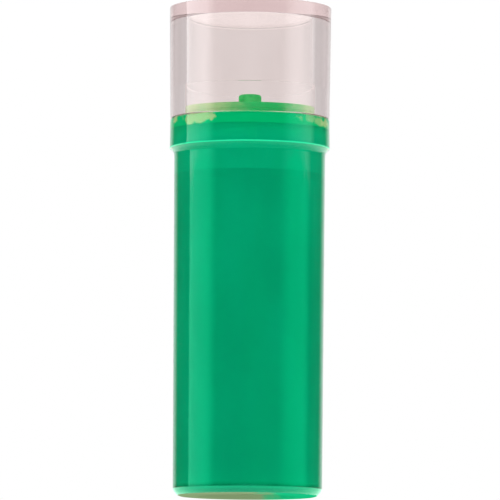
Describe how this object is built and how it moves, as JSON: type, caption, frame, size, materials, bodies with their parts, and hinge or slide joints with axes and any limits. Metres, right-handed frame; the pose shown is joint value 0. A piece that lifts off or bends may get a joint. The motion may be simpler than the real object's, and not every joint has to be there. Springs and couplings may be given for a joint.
{
  "type": "highlighter refill cartridge",
  "caption": "Round ink tank with a clear push-on cap; under the cap a valve seat holds a push-in plug with a small central nub.",
  "frame": {"origin": "middle of the flat foot that the cartridge stands on", "axes": "+Z along the cartridge's axis, from the foot towards the clear cap; X and Y across, alike by symmetry"},
  "size_m": [0.016, 0.016, 0.0485],
  "materials": {
    "tank_plastic": "clear glossy moulded polypropylene",
    "cap_plastic": "clear, slightly smoky rose, glossy moulded plastic",
    "seat_plastic": "translucent soft polyethylene, tinted by the ink",
    "plug_plastic": "translucent soft polyethylene, tinted by the ink",
    "ink": "deep green liquid"
  },
  "bodies": {
    "cartridge": {"ink_tank": "tank_plastic", "valve_seat": "seat_plastic", "ink_charge": "ink"},
    "cap": {"clear_cap": "cap_plastic"},
    "closure": {"closure_plug": "plug_plastic"}
  },
  "joints": [
    {"name": "cap_pull", "type": "slide", "parent": "cartridge", "child": "cap", "axis": [0, 0, 1], "range_m": [0, 0.012]},
    {"name": "closure_slide", "type": "slide", "parent": "cartridge", "child": "closure", "axis": [0, 0, 1], "range_m": [-0.004, 0]}
  ]
}
